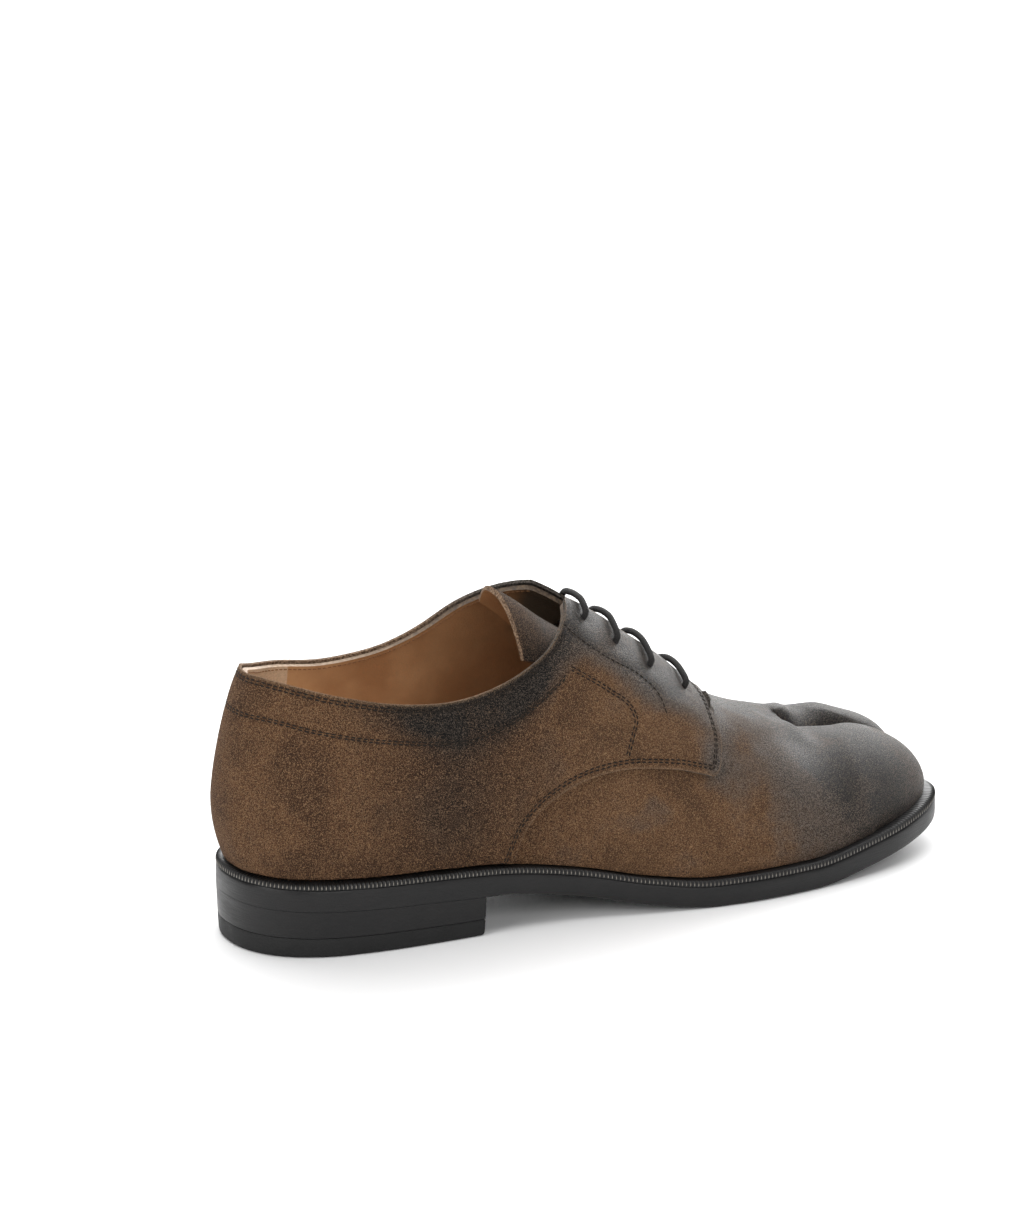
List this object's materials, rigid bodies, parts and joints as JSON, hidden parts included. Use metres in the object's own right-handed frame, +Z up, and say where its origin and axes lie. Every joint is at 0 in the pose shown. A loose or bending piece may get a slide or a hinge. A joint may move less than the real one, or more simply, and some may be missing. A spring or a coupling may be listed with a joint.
{
  "type": "tabi lace-up shoe",
  "caption": "Right low lace-up dress shoe with a split toe, suede quarters laced over a tongue, ribbed welt, slim leather sole and a low stacked heel.",
  "frame": {"origin": "on the floor under the middle of the shoe's box", "axes": "+X towards the toes, +Y towards the medial (big toe) side, +Z up"},
  "size_m": [0.2818, 0.0946, 0.1134],
  "materials": {
    "suede": "brushed suede with dark burnished areas",
    "lining_leather": "smooth satin",
    "black_edge": "painted edge, satin",
    "black_rubber": "matte",
    "lace_cord": "round woven cord"
  },
  "bodies": {
    "root": {"upper": "suede", "quarters": "suede", "tongue": "suede", "insole": "lining_leather", "welt": "black_edge", "outsole": "black_edge", "heel_stack": "black_edge", "heel_top_lift": "black_rubber", "lace_bar_1": "lace_cord", "lace_bar_2": "lace_cord", "lace_bar_3": "lace_cord", "lace_bar_4": "lace_cord"}
  },
  "joints": []
}
